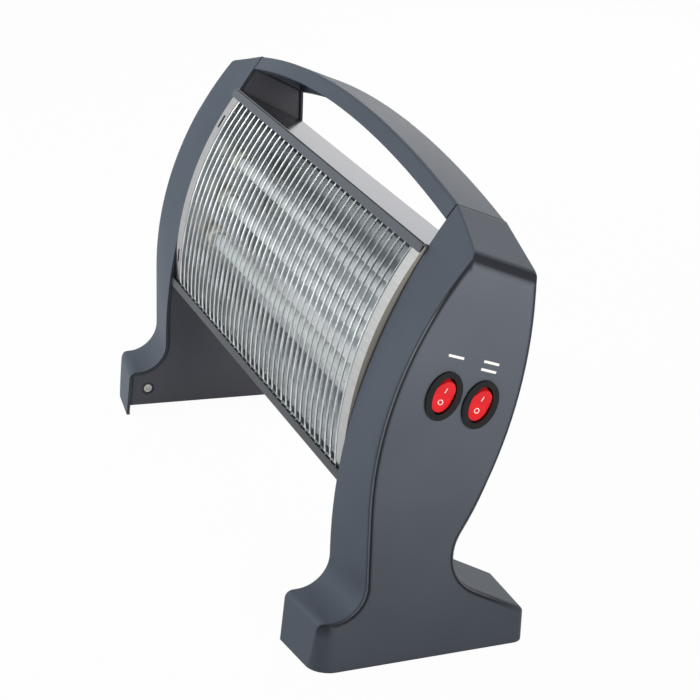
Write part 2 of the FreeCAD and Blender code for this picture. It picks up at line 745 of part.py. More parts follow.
LIP_EDGE = "lip_lean * lip_gap / rail_lip"
top_rail_line = [(LIP_EDGE, "box_opening + lip_gap"), top_line("lip_lean"), top_line("rail_shelf")]
keep("top_rail", in_box(sheet_metal("top_rail_sheet", top_rail_line, SHEET_LENGTH, 1)))
bottom_rail_line = [(LIP_EDGE, "-lip_gap"), low_line("lip_lean"), low_line("rail_shelf")]
keep("bottom_rail", in_box(sheet_metal("bottom_rail_sheet", bottom_rail_line, SHEET_LENGTH, -1)))
rear_front = "(lip_lean + 2 * sheet)"
rear_line = [
    top_line(rear_front),
    top_line("rear_top_depth"),
    low_line("rear_low_depth"),
    low_line(rear_front),
]
vents = []
VENT_COUNT = int(worth("(2 * (inner_half_width - vent_margin) - vent_width) / vent_pitch")) + 1
for number in range(VENT_COUNT):
    middle = f"({number} - {VENT_COUNT - 1} / 2) * vent_pitch"
    vents.append(block(f"vent_{number}", ("vent_width", "rear_low_depth", "vent_length"),
                       (f"{middle} - vent_width / 2", "reflector_depth + overrun / 2",
                        "(box_opening - vent_length) / 2")))
keep("rear_cover", in_box(cut("rear_vented", sheet_metal("rear_sheet", rear_line, SHEET_LENGTH, -1), vents)))
TOP_ANGLE = angle("rear_top_drop", "rear_top_depth - lip_lean")
LOW_ANGLE = angle("rear_low_rise", "rear_low_depth - lip_lean")


def inside_top(depth):
    """A point just under the top rail's shelf."""
    return (depth, f"{top_line(depth)[1]} - sheet / cos({TOP_ANGLE}) - clearance")


def inside_low(depth):
    """A point just above the bottom rail's shelf."""
    return (depth, f"{low_line(depth)[1]} + sheet / cos({LOW_ANGLE}) + clearance")


reflector = sheet_metal("reflector_sheet", [
    inside_top("reflector_front"),
    ("reflector_depth", "box_opening - reflector_margin"),
    ("reflector_depth", "reflector_margin"),
    inside_low("reflector_front"),
], f"2 * ({PLATE_X} - clearance)", 1)
keep("reflector", in_box(reflector))

plate_outline = [
    inside_low("plate_front"),
    inside_low("rear_low_depth - plate_gap"),
    inside_top("rear_top_depth - plate_gap"),
    inside_top("plate_front") + ("guard_radius", 1),
]
low_corner, top_corner = plate_outline[0], plate_outline[3][:2]
flange_outline = [
    top_corner + ("guard_radius", 1),
    low_corner,
    inside_low("(plate_front + sheet)") + ("guard_radius", -1),
    inside_top("(plate_front + sheet)"),
]
return_outline = [
    top_corner + ("guard_radius", 1),
    low_corner,
    inside_low("(plate_front + return_depth)"),
    inside_top("(plate_front + return_depth)"),
]


def tube_rise(number):
    """How far up the box a tube lies."""
    return f"(box_opening / 2 + {number - 1} * tube_pitch)"


plate = joined("end_plate_bent", [
    prism("plate_web", "YZ_Plane", plate_outline, "sheet", PLATE_X),
    prism("plate_flange", "YZ_Plane", flange_outline, "flange_width", PLATE_X),
    prism("plate_return", "YZ_Plane", return_outline, "sheet", f"{PLATE_X} + flange_width - sheet"),
])
plate_holes = []
for number, name in enumerate(TUBES):
    plate_holes.append(rod(f"spigot_hole_{name}", "cap_spigot_radius + clearance", "overrun",
                           at=(f"{PLATE_X} - sheet", "tube_set_back", tube_rise(number))))
for name, rise in POSTS:
    plate_holes.append(rod(f"plate_screw_hole_{name}", "plate_screw_radius + clearance", "overrun",
                           at=(f"{PLATE_X} - sheet", "post_depth", rise)))
end_plate = cut("end_plate_cut", plate, plate_holes)
keep("end_plate_right", in_box(group("end_plate_right_set", [end_plate])))
flange_slots = []
for name, rise in (("low", "flange_slot_inset"), ("high", "box_opening - flange_slot_inset")):
    corner = (f"-{PLATE_X} - (flange_width + flange_slot_width) / 2", "plate_front - overrun",
              f"{rise} - flange_slot_length / 2")
    flange_slots.append(block(f"flange_slot_{name}", ("flange_slot_width", "overrun", "flange_slot_length"),
                              corner))
slotted = cut("end_plate_slotted", mirrored("end_plate_mirrored", end_plate), flange_slots)
keep("end_plate_left", in_box(group("end_plate_left_set", [slotted])))

plate_screws = []
for side_name, sign in SIDES:
    for spot, rise in POSTS:
        tag = f"{spot}_{side_name}"
        seat = (f"{sign} * {PLATE_X}", "post_depth", rise)
        head = rod(f"plate_screw_head_{tag}", "plate_screw_head_radius", "plate_screw_head",
                   (-sign, 0, 0), seat)
        shank = rod(f"plate_screw_shank_{tag}", "plate_screw_radius", "plate_screw_length",
                    (sign, 0, 0), seat)
        plate_screws.append(joined(f"plate_screw_{tag}", [head, shank]))
keep("plate_screws", in_box(group("plate_screw_set", plate_screws)))

# wire guard, welded to two cross rods behind the lips of the rails
WIRE_SPAN = "(box_opening / 2 + wire_tail)"
WIRE_CENTRE = f"(wire_depth + sqrt(guard_radius ^ 2 - {WIRE_SPAN} ^ 2))"
WIRE_SWEEP = f"(asin({WIRE_SPAN} / guard_radius) / 1 deg)"
guard_bars = []
WIRE_COUNT = int(worth(f"2 * ({PLATE_X} - wire_radius - clearance) / wire_pitch")) + 1
for number in range(WIRE_COUNT):
    wire = doc.addObject("Part::Torus", f"wire_{number}")
    bind(wire, "Radius1", "guard_radius")
    bind(wire, "Radius2", "wire_radius")
    bind(wire, "Angle3", f"2 * {WIRE_SWEEP}")
    wire.Placement.Rotation = FreeCAD.Rotation(-Y_AXIS, -Z_AXIS, X_AXIS, "ZXY")
    turn = group(f"wire_turned_{number}", [wire])
    turn.Placement.Rotation = FreeCAD.Rotation(X_AXIS, -worth(WIRE_SWEEP))
    bind(turn, "Placement.Rotation.Angle", f"-{WIRE_SWEEP}")
    bind(turn, "Placement.Base.x", f"({number} - {WIRE_COUNT - 1} / 2) * wire_pitch")
    bind(turn, "Placement.Base.y", WIRE_CENTRE)
    bind(turn, "Placement.Base.z", "box_opening / 2")
    guard_bars.append(turn)
ROD_DEPTH = (f"({WIRE_CENTRE} - sqrt(guard_radius ^ 2 - (box_opening / 2 + rod_tail) ^ 2)"
             " + (wire_radius + cross_rod_radius) * weld_share)")
for name, rise in (("low", "-rod_tail"), ("high", "box_opening + rod_tail")):
    guard_bars.append(rod(f"cross_rod_{name}", "cross_rod_radius", f"2 * ({PLATE_X} - clearance)",
                          at=(f"clearance - {PLATE_X}", ROD_DEPTH, rise)))
keep("guard", in_box(joined("guard_welded", guard_bars)))

# quartz tubes with coils, ceramic caps, terminals and link strips
TUBE_END = f"({PLATE_X} - cap_length + cap_socket)"
TERMINAL_END = f"({PLATE_X} + cap_spigot + terminal_reach)"
for number, name in enumerate(TUBES):
    start = (f"clearance - {TUBE_END}", "tube_set_back", tube_rise(number))
    tube_length = f"2 * ({TUBE_END} - clearance)"
    bar = rod(f"tube_{name}_bar", "tube_radius", tube_length, at=start)
    bore = rod(f"tube_{name}_bore", "tube_radius - tube_wall", tube_length, at=start)
    keep(f"tube_{name}", in_box(cut(f"tube_{name}_bored", bar, [bore])))
    coil = rod(f"coil_{name}_bar", "coil_radius", tube_length, at=start)
    keep(f"coil_{name}", in_box(group(f"coil_{name}_set", [coil])))
for side_name, sign in SIDES:
    outward = (sign, 0, 0)
    caps, terminals, strip_holes = [], [], []
    for number, name in enumerate(TUBES):
        y, z = "tube_set_back", tube_rise(number)
        tag = f"{name}_{side_name}"
        mouth = (f"{sign} * ({PLATE_X} - cap_length)", y, z)
        cap = joined(f"cap_solid_{tag}", [
            rod(f"cap_barrel_{tag}", "cap_radius", "cap_length", outward, mouth),
            rod(f"cap_spigot_{tag}", "cap_spigot_radius", "cap_length + cap_spigot", outward, mouth),
        ])
        caps.append(cut(f"cap_{tag}", cap, [
            rod(f"cap_socket_{tag}", "tube_radius + clearance", "cap_socket", outward, mouth),
            rod(f"cap_passage_{tag}", "terminal_radius + clearance", "2 * cap_length", outward, mouth),
        ]))
        terminal = rod(f"terminal_{tag}", "terminal_radius", f"{TERMINAL_END} - {TUBE_END} + clearance",
                       outward, (f"{sign} * ({TUBE_END} - clearance)", y, z))
        terminals.append(terminal)
        hole = rod(f"strip_hole_{tag}", "terminal_radius + running_clearance", "overrun", outward,
                   (f"{sign} * ({PLATE_X} + cap_spigot - strip_thickness)", y, z))
        strip_holes.append(hole)
    keep(f"caps_{side_name}", in_box(group(f"caps_{side_name}_set", caps)))
    keep(f"terminals_{side_name}", in_box(group(f"terminals_{side_name}_set", terminals)))
    strip_middle = f"{sign} * ({PLATE_X} + cap_spigot + strip_thickness / 2)"
    strip_size = ("strip_thickness", "strip_width", "2 * tube_pitch + strip_width")
    strip = block(f"strip_bar_{side_name}", strip_size,
                  (f"{strip_middle} - strip_thickness / 2", "tube_set_back - strip_width / 2",
                   f"{tube_rise(0)} - strip_width / 2"))
    keep(f"link_strip_{side_name}", in_box(cut(f"strip_{side_name}", strip, strip_holes)))

# rocker switches on the outer face of the right casing
AXIS_X = "(-rocker_axis_depth)"
PIN_END = "(well_half_width + rocker_pin_reach)"
for name, side in SWITCHES:
    housing = joined(f"housing_{name}_solid", [
        oval(f"bezel_{name}", "bezel_half_width", "bezel_half_height", "0", "bezel_thickness"),
        oval(f"barrel_{name}", "switch_half_width", "switch_half_height", "-switch_depth",
             "switch_depth + bezel_thickness / 2"),
    ])
    well = oval(f"well_{name}", "well_half_width", "well_half_height", "-well_depth", "well_depth + overrun")
    bearing = rod(f"bearing_{name}", "rocker_pin_radius + running_clearance", f"2 * ({PIN_END} + clearance)",
                  (0, 1, 0), (AXIS_X, f"-{PIN_END} - clearance", "0"))
    keep(f"switch_{name}", at_switch(cut(f"housing_{name}", housing, [well, bearing]), side, OUTER_FACE))
    tabs = []
    for number in range(-1, 2):
        tabs.append(block(f"tab_{name}_{number + 1}", ("tab_reach", "tab_width", "tab_thickness"),
                          ("-switch_depth - tab_reach", "-tab_width / 2",
                           f"{number} * tab_spread - tab_thickness / 2")))
    keep(f"switch_tabs_{name}", at_switch(group(f"switch_tabs_{name}_set", tabs), side, OUTER_FACE))
    paddle = oval(f"paddle_{name}", "well_half_width - rocker_side_gap", "well_half_height - rocker_end_gap",
                  "-rocker_belly", "rocker_belly + overrun")
    wing = "well_half_height * tan(rocker_half_tilt)"
    profile = prism(f"valley_{name}", "XZ_Plane", [
        ("-2 * rocker_belly", "-well_half_height"),
        (f"rocker_valley + {wing}", "-well_half_height"),
        ("rocker_valley", "0"),
        (f"rocker_valley + {wing}", "well_half_height"),
        ("-2 * rocker_belly", "well_half_height"),
    ], "4 * well_half_width", midplane=True)
    pin = rod(f"pin_{name}", "rocker_pin_radius", f"2 * {PIN_END}", (0, 1, 0), ("0", f"-{PIN_END}", "0"))
    level = joined(f"rocker_{name}_level", [overlap(f"rocker_{name}_block", [paddle, profile]), pin])
    tilted = group(f"rocker_{name}_tilted", [level])
    tilted.Placement.Rotation = FreeCAD.Rotation(Y_AXIS, worth("rocker_half_tilt"))
    bind(tilted, "Placement.Rotation.Angle", "rocker_half_tilt")
    rocker = group(f"rocker_{name}_set", [tilted])
    keep(f"rocker_{name}", at_switch(rocker, side, f"{OUTER_FACE} + {AXIS_X}"))

# pieces inside the casing with the switches
keep("terminal_block", block("terminal_block_box", ("block_width", "block_length", "block_height"),
                             (COVER_BACK, "block_y", "block_z")))
keep("tip_switch", block("tip_switch_box", ("tip_switch_width", "tip_switch_length", "tip_switch_height"),
                         (COVER_BACK, "tip_switch_y", "tip_switch_z")))
bush_start = (f"{COVER_FACE} - bush_flange_thickness", "bush_y", "bush_z")
bush_length = "(bush_flange_thickness + 2 * cover_thickness)"
bush = joined("bush_solid", [
    rod("bush_rim", "bush_flange", "bush_flange_thickness", at=bush_start),
    rod("bush_barrel", "bush_radius", bush_length, at=bush_start),
])
passage = rod("bush_passage", "bush_bore", bush_length, at=bush_start)
keep("cord_bush", cut("cord_bush_bored", bush, [passage]))

doc.recompute()
faulty = [thing.Name for thing in doc.Objects if {"Invalid", "Error"} & set(thing.State)]
if faulty:
    raise RuntimeError(f"these did not build: {faulty}")
os.makedirs("parts", exist_ok=True)
for piece in pieces:
    shape = piece.Shape
    if shape.isNull() or not shape.isValid() or shape.Volume <= 0:
        raise RuntimeError(f"no sound solid for {piece.Label}")
    shape.exportStep(f"parts/{piece.Label}.step")
    print(piece.Label, len(shape.Solids), "solids", round(shape.Volume), "cubic mm")
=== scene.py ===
# %% [markdown]
# A quartz heater stands on two plastic end casings that an arched handle joins. Between them leans a
# sheet-metal box with milky tubes behind a bowed wire guard, and one casing carries two red rockers.
# The solids are made already, so this lesson gives them their finishes and adds the thin details.
# Loading the frame first keeps every new piece in the same place and the same metres as the solids.

# %% load the heater
import json
import math

import bpy
from mathutils import Matrix, Vector
from mathutils.bvhtree import BVHTree


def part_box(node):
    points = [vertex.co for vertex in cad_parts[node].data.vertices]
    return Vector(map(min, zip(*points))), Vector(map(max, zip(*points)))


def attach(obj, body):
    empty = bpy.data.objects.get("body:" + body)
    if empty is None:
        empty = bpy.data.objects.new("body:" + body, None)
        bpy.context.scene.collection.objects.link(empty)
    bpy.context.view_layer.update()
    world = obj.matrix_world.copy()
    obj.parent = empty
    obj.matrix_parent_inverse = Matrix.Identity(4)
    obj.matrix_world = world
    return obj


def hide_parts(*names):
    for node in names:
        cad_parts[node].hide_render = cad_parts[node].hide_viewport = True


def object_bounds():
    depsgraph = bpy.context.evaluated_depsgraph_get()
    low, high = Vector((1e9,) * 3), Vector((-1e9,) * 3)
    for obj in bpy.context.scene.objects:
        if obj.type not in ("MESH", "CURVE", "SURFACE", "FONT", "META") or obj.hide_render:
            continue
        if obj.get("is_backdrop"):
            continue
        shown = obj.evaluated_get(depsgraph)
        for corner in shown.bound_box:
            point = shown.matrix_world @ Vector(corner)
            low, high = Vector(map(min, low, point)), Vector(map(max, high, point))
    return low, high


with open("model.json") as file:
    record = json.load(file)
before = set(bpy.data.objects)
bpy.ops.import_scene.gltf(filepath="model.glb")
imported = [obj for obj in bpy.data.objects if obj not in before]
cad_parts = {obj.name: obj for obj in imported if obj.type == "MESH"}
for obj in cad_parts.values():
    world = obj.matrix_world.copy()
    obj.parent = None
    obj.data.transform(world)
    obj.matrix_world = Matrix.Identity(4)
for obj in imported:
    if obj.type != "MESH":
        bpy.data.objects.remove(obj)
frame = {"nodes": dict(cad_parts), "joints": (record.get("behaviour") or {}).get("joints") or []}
cad_low, cad_high = (list(corner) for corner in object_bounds())
nodes = frame["nodes"]
MM = 0.001
print("nodes:", len(nodes), "size in mm:", [round((b - a) / MM) for a, b in zip(cad_low, cad_high)])

# %% [markdown]
# A finish is a small graph of nodes. Clicking them together by hand is fine for one material, but a
# lesson reads better when the sums look like sums. So one class stands for an output of a node and
# turns +, -, * and the rest into Math nodes.


# %% sums on sockets
class Signal:
    """An output of a shader node. A sum with it adds a Math node."""

    def __init__(self, finish, socket):
        self.finish = finish
        self.socket = socket

    def maths(self, operation, *terms):
        return self.finish.add("ShaderNodeMath", {"operation": operation}, dict(enumerate(terms)))

    def __add__(self, other):
        return self.maths("ADD", self, other)

    def __radd__(self, other):
        return self.maths("ADD", other, self)

    def __sub__(self, other):
        return self.maths("SUBTRACT", self, other)

    def __rsub__(self, other):
        return self.maths("SUBTRACT", other, self)

    def __mul__(self, other):
        return self.maths("MULTIPLY", self, other)

    def __rmul__(self, other):
        return self.maths("MULTIPLY", other, self)

    def __abs__(self):
        return self.maths("ABSOLUTE", self)

    def kept_in(self, low, high):
        """The same signal, stretched so that low gives 0 and high gives 1, and cut off beyond them."""
        limits = {"From Min": low, "From Max": high}
        return self.finish.add("ShaderNodeMapRange", {"clamp": True}, {"Value": self, **limits})


print("a sum with a signal adds a Math node")

# %% [markdown]
# The second class holds the material itself. Its Principled shader serves plastic, paint, metal and
# glass alike, so constants are set on it once, by name. What varies over a piece, such as grain, clouds
# or wear, comes from nodes that read the place of a point in metres. Unwrapping each piece and painting
# a picture would do as well, but it takes longer and the grain would differ in size from piece to piece.

# %% a finish and its nodes
X, Z = 0, 2
FIRST_COLOUR, SECOND_COLOUR, MIXED_COLOUR = 6, 7, 2


class Finish:
    """A material whose constants sit on its Principled shader and whose changes come from nodes."""

    def __init__(self, name, **constants):
        self.material = bpy.data.materials.new(name)
        self.material.use_nodes = True
        self.tree = self.material.node_tree
        self.shader = self.tree.nodes["Principled BSDF"]
        for socket, value in constants.items():
            self.shader.inputs[socket.replace("_", " ")].default_value = value

    def add(self, kind, settings=(), sockets=(), output=0):
        """Adds one node: its settings first, then the values or links of its sockets."""
        node = self.tree.nodes.new(kind)
        for setting, value in dict(settings).items():
            setattr(node, setting, value)
        for socket, value in dict(sockets).items():
            if isinstance(value, Signal):
                self.tree.links.new(value.socket, node.inputs[socket])
            else:
                node.inputs[socket].default_value = value
        return Signal(self, node.outputs[output])

    def feed(self, **signals):
        """Links signals to sockets of the shader."""
        for socket, signal in signals.items():
            self.tree.links.new(signal.socket, self.shader.inputs[socket.replace("_", " ")])

    def spot(self, stretch=(1, 1, 1)):
        """Where a point lies on the heater, in metres, stretched along the axes."""
        place = self.add("ShaderNodeTexCoord", output="Object")
        return self.add("ShaderNodeVectorMath", {"operation": "MULTIPLY"}, {0: place, 1: stretch})

    def along(self, axis, kind="Object"):
        """One coordinate of a point, in metres, or of the direction that its surface faces."""
        place = self.add("ShaderNodeTexCoord", output=kind)
        return self.add("ShaderNodeSeparateXYZ", sockets={0: place}, output=axis)

    def mottle(self, size, stretch=(1, 1, 1), detail=2.0):
        """Soft noise whose patches are about a size across, from 0 to 1 around a half."""
        sockets = {"Vector": self.spot(stretch), "Scale": 1 / size, "Detail": detail}
        return self.add("ShaderNodeTexNoise", sockets=sockets)

    def blend(self, part, first, second):
        """One colour that turns into another as a signal goes from 0 to 1."""
        sockets = {0: part, FIRST_COLOUR: first, SECOND_COLOUR: second}
        return self.add("ShaderNodeMix", {"data_type": "RGBA"}, sockets, MIXED_COLOUR)

    def relief(self, height, depth, **sockets):
        """Small ups and downs of the surface, of a real depth in metres."""
        sockets.update(Strength=1.0, Distance=depth, Height=height)
        return self.add("ShaderNodeBump", sockets=sockets)


def rgb(red, green, blue):
    """A colour for a socket."""
    return (red, green, blue, 1.0)


print("finishes are ready to be mixed")

# %% [markdown]
# The casings, the handle and their inner covers are moulded in slate-grey plastic. The steel mould was
# spark-eroded, which leaves a fine, even grain, so highlights are broad and soft. A picture of such a
# grain could be wrapped round them, but noise in metres keeps it at its true size on every piece. The
# inner covers come from a batch that is less blue and a little smoother.

# %% moulded plastic
GRAIN = 0.7 * MM
CLOUDS = 55 * MM
GRAIN_SHARE, GRAIN_LEVEL = 0.35, 0.17
MOST_OF_NOISE = (0.3, 0.7)
SOFT_EDGE = 2.2 * MM
EDGE_SAMPLES = 8


def moulded(name, deep, pale, grain_depth, roughness):
    """Matte plastic with a fine grain, a faint clouding of its colour and softened edges."""
    plastic = Finish(name, Specular_IOR_Level=0.1)
    grain = plastic.mottle(GRAIN, detail=3.0)
    clouds = plastic.mottle(CLOUDS)
    mixed = (clouds + GRAIN_SHARE * grain - GRAIN_LEVEL).kept_in(*MOST_OF_NOISE)
    plastic.edges = plastic.add("ShaderNodeBevel", {"samples": EDGE_SAMPLES}, {"Radius": SOFT_EDGE})
    plastic.colour = plastic.blend(mixed, deep, pale)
    plastic.feed(
        Base_Color=plastic.colour,
        Roughness=roughness + 0.12 * grain + 0.08 * clouds,
        Normal=plastic.relief(grain, grain_depth, Normal=plastic.edges),
    )
    return plastic


casing_plastic = moulded(
    "slate_casing_plastic", deep=rgb(0.079, 0.093, 0.118), pale=rgb(0.091, 0.106, 0.133),
    grain_depth=0.02 * MM, roughness=0.42)
cover_plastic = moulded(
    "dark_cover_plastic", deep=rgb(0.098, 0.102, 0.120), pale=rgb(0.112, 0.116, 0.136),
    grain_depth=0.02 * MM, roughness=0.34)
print("moulded plastics:", casing_plastic.material.name, cover_plastic.material.name)

# %% [markdown]
# Along the large outer rounds of the casings the light falls off, so they look deeper than the faces
# beside them. Black cards round the heater would do that in a studio, but they would darken its bright
# sheet too, so the finish carries the deeper colour as painted shade. The faces look straight sideways,
# forwards or up, and only the rounds look in between, so the direction of the surface is all that the
# mask needs. The feet have only a little of it.

# %% painted shade on the rounds
ROUND_START, ROUND_FULL = 0.4, 0.68
ROUND_FADE, ROUND_END = 0.92, 1.0
FOOT_TOP = 35 * MM
FOOT_FADE = 12 * MM
SHARE_ON_FOOT, SHARE_ADDED_ABOVE = 0.15, 0.8
ROUND_SHADE_COLOUR = rgb(0.012, 0.013, 0.019)

turned = abs(casing_plastic.add("ShaderNodeSeparateXYZ", sockets={0: casing_plastic.edges}, output=X))
on_round = turned.kept_in(ROUND_START, ROUND_FULL) * (1 - turned.kept_in(ROUND_FADE, ROUND_END))
above_foot = casing_plastic.along(Z).kept_in(FOOT_TOP - FOOT_FADE, FOOT_TOP)
share = (SHARE_ON_FOOT + SHARE_ADDED_ABOVE * above_foot) * on_round
casing_plastic.feed(Base_Color=casing_plastic.blend(share, casing_plastic.colour, ROUND_SHADE_COLOUR))
print("rounds deepened above", round(FOOT_TOP / MM), "mm on", casing_plastic.material.name)

# %% [markdown]
# The rails are thin steel with a dark satin paint. Sprayed paint is never quite level: it dries with a
# gentle orange-peel waviness a few millimetres across. That is far too low to model, so a bump from
# soft noise stands for it. The lower rail takes a darker copy of the same paint, as painted shade.

# %% painted sheet
PEEL, PEEL_DEPTH = 2.5 * MM, 0.03 * MM
PAINT_SPECK = 0.5 * MM


def painted(name, deep, pale):
    """Satin paint with fine specks and a gentle orange peel."""
    paint = Finish(name, Specular_IOR_Level=0.14)
    peel = paint.mottle(PEEL)
    speck = paint.mottle(PAINT_SPECK, detail=3.0)
    paint.feed(
        Base_Color=paint.blend(speck, deep, pale),
        Roughness=0.26 + 0.14 * speck,
        Normal=paint.relief(peel, PEEL_DEPTH),
    )
    return paint


top_paint = painted("dark_rail_paint", deep=rgb(0.097, 0.105, 0.122), pale=rgb(0.124, 0.132, 0.151))
# Painted shade: the lower rail is the same paint made darker.
shaded_low_paint = painted("rail_paint_with_painted_shade", deep=rgb(0.045, 0.048, 0.055), pale=rgb(0.062, 0.066, 0.074))
print("rail paints:", top_paint.material.name, shaded_low_paint.material.name)

# %% [markdown]
# The rear cover, the end plates and the reflector are bare sheet, and the rolls of the mill leave fine
# lines along it. Stretching the noise along the rolling direction draws those lines without modelling
# them. Thin sheet is never quite flat either, so slow waves bend what it mirrors.

# %% rolled sheet
ROLL_LINE, ROLL_WAVE = 0.5 * MM, 45 * MM
ALONG_ROLL = (0.015, 1, 1)
LINE_SHARE, WAVE_SHARE = 0.6, 0.4
SHEET_TINT = rgb(0.62, 0.62, 0.64)


def rolled(name, dull, bright, roughness, wave_depth):
    """Bare sheet with fine lines along the heater and slow waves where it was never quite flat."""
    bare = Finish(name, Metallic=1.0, Specular_Tint=SHEET_TINT)
    lines = bare.mottle(ROLL_LINE, stretch=ALONG_ROLL, detail=3.0)
    waves = bare.mottle(ROLL_WAVE)
    bare.worn = (LINE_SHARE * lines + WAVE_SHARE * waves).kept_in(*MOST_OF_NOISE)
    bare.colour = bare.blend(bare.worn, dull, bright)
    bare.feed(
        Base_Color=bare.colour,
        Roughness=roughness + 0.12 * lines,
        Normal=bare.relief(waves, wave_depth),
    )
    return bare


rear_sheet = rolled(
    "rolled_rear_sheet", dull=rgb(0.36, 0.37, 0.40), bright=rgb(0.42, 0.43, 0.46),
    roughness=0.06, wave_depth=0.05 * MM)
reflector_sheet = rolled(
    "polished_reflector", dull=rgb(0.64, 0.67, 0.68), bright=rgb(0.84, 0.86, 0.87),
    roughness=0.16, wave_depth=1.0 * MM)
plate_sheet = rolled(
    "bright_end_plate", dull=rgb(0.44, 0.44, 0.44), bright=rgb(0.56, 0.56, 0.55),
    roughness=0.18, wave_depth=0.3 * MM)
print("bare sheets:", *(sheet.material.name for sheet in (rear_sheet, reflector_sheet, plate_sheet)))

# %% [markdown]
# Above the tubes the reflector takes a darker blue-grey. It is a painted reflection, which stands for the
# darker surroundings that the polished sheet mirrors there. The end plates take a duller, brownish colour
# with less metal on their outer sides. Height and facing direction belong to the heater itself, so a
# blend along them stays put whichever way one looks.

# %% painted reflection on the reflector and outer sides of the end plates
DARK_TOP_START, DARK_TOP_FULL = 185 * MM, 235 * MM
END_NEAR = 100 * MM
FACING_START, FACING_FULL = 0.5, 0.9
OUTER_SIDE_DULLNESS = 0.85

# Painted reflection: from this height up the reflector takes a darker colour for the surroundings it
# mirrors.
heat = reflector_sheet.along(Z).kept_in(DARK_TOP_START, DARK_TOP_FULL)
painted_reflection_colour = reflector_sheet.blend(reflector_sheet.worn, rgb(0.12, 0.145, 0.155), rgb(0.19, 0.215, 0.225))
reflector_sheet.feed(Base_Color=reflector_sheet.blend(heat, reflector_sheet.colour, painted_reflection_colour))
# Outer sides of the end plates: a duller, brownish colour with less metal.
end_sign = plate_sheet.along(X).kept_in(-END_NEAR, END_NEAR) * 2 - 1
outward = (plate_sheet.along(X, "Normal") * end_sign).kept_in(FACING_START, FACING_FULL)
outer_side_colour = plate_sheet.blend(plate_sheet.worn, rgb(0.30, 0.29, 0.265), rgb(0.38, 0.37, 0.34))
plate_sheet.feed(
    Base_Color=plate_sheet.blend(outward, plate_sheet.colour, outer_side_colour),
    Metallic=1 - OUTER_SIDE_DULLNESS * outward,
)
# The printed range is that of the painted reflection on the reflector.
print("heat tint rises from", round(DARK_TOP_START / MM), "to", round(DARK_TOP_FULL / MM), "mm")

# %% [markdown]
# The guard is steel wire that was bent, welded to cross rods and plated. Plating is smooth and bright,
# with a slightly duller film where the bath ran thin. Screws, terminals and link strips have the same
# kind of coat in zinc, which is greyer and softer. One function serves both with other colours.

# %% plated steel
THIN_FILM, FULL_FILM = 0.35, 0.65
PIT, PIT_DEPTH = 0.25 * MM, 0.004 * MM


def plated(name, dull, bright, smooth, rough, patch):
    """Plated metal whose film is a little duller in patches and pitted very finely."""
    coat = Finish(name, Metallic=1.0)
    film = coat.mottle(patch).kept_in(THIN_FILM, FULL_FILM)
    pits = coat.mottle(PIT, detail=3.0)
    coat.colour = coat.blend(film, dull, bright)
    coat.feed(
        Base_Color=coat.colour,
        Roughness=rough - (rough - smooth) * film + 0.06 * pits,
        Normal=coat.relief(pits, PIT_DEPTH),
    )
    return coat


guard_plating = plated(
    "bright_guard_plating", dull=rgb(0.46, 0.48, 0.49), bright=rgb(0.66, 0.68, 0.69),
    smooth=0.05, rough=0.14, patch=14 * MM)
zinc = plated(
    "zinc_fasteners", dull=rgb(0.26, 0.26, 0.25), bright=rgb(0.50, 0.50, 0.48),
    smooth=0.2, rough=0.4, patch=1.5 * MM)
print("platings:", guard_plating.material.name, zinc.material.name)

# %% [markdown]
# High up and towards the switches the wires of the guard look dark. A dark card in the studio could be
# mirrored there, but then it would show in the reflector too. So a painted reflection darkens the
# colour of the plating in that corner: one ramp up the guard times one ramp along it.

# %% painted dark reflection in a corner of the guard
DARK_GUARD_START, DARK_GUARD_FULL = 185 * MM, 240 * MM
DARK_GUARD_SIDE = 120 * MM
DARK_REFLECTION_SHARE = 0.8
DARK_REFLECTION_COLOUR = rgb(0.09, 0.105, 0.11)

high_up = guard_plating.along(Z).kept_in(DARK_GUARD_START, DARK_GUARD_FULL)
by_switches = guard_plating.along(X).kept_in(-DARK_GUARD_SIDE, DARK_GUARD_SIDE)
# Painted reflection: the plating takes a dark colour here, for dark surroundings mirrored in the wires.
guard_dark_reflection = guard_plating.blend(DARK_REFLECTION_SHARE * (high_up * by_switches), guard_plating.colour, DARK_REFLECTION_COLOUR)
guard_plating.feed(Base_Color=guard_dark_reflection)
print("guard dulled from", round(DARK_GUARD_START / MM), "mm up")

# %% [markdown]
# The tubes are opaline quartz: drawn glass full of fine bubbles, so light goes through it but no clear
# picture does. Plain glass would show the coil sharply, and white plastic would hide it. A rough
# transmission with a milky colour lies between them, and faint lines along the tube show that it was
# drawn. Cream ceramic caps close the ends, speckled because the clay was pressed dry.

# %% quartz and ceramic
DRAWN_LINE, DRAWN_DEPTH = 0.6 * MM, 0.05 * MM
ALONG_TUBE = (0.02, 1, 1)
BUBBLE = 1.2 * MM
CLAY_GRAIN, CLAY_DEPTH = 0.9 * MM, 0.04 * MM
DARKEST_CLAY = (0.30, 0.36)

quartz = Finish("milky_quartz", Transmission_Weight=0.25, IOR=1.46, Specular_IOR_Level=0.5)
drawn = quartz.mottle(DRAWN_LINE, stretch=ALONG_TUBE, detail=3.0)
bubbles = quartz.mottle(BUBBLE)
quartz.feed(
    Base_Color=quartz.blend(bubbles, rgb(0.80, 0.82, 0.82), rgb(0.92, 0.93, 0.92)),
    Roughness=0.28 + 0.2 * drawn,
    Normal=quartz.relief(drawn, DRAWN_DEPTH),
)
ceramic = Finish("cream_ceramic", Specular_IOR_Level=0.4)
clay = ceramic.mottle(CLAY_GRAIN, detail=4.0)
dark_specks = 1 - clay.kept_in(*DARKEST_CLAY)
ceramic.feed(
    Base_Color=ceramic.blend(0.5 * dark_specks + 0.3 * clay, rgb(0.80, 0.77, 0.68), rgb(0.56, 0.51, 0.42)),
    Roughness=0.42 + 0.25 * clay,
    Normal=ceramic.relief(clay, CLAY_DEPTH),
)
print("tube finishes:", quartz.material.name, ceramic.material.name)

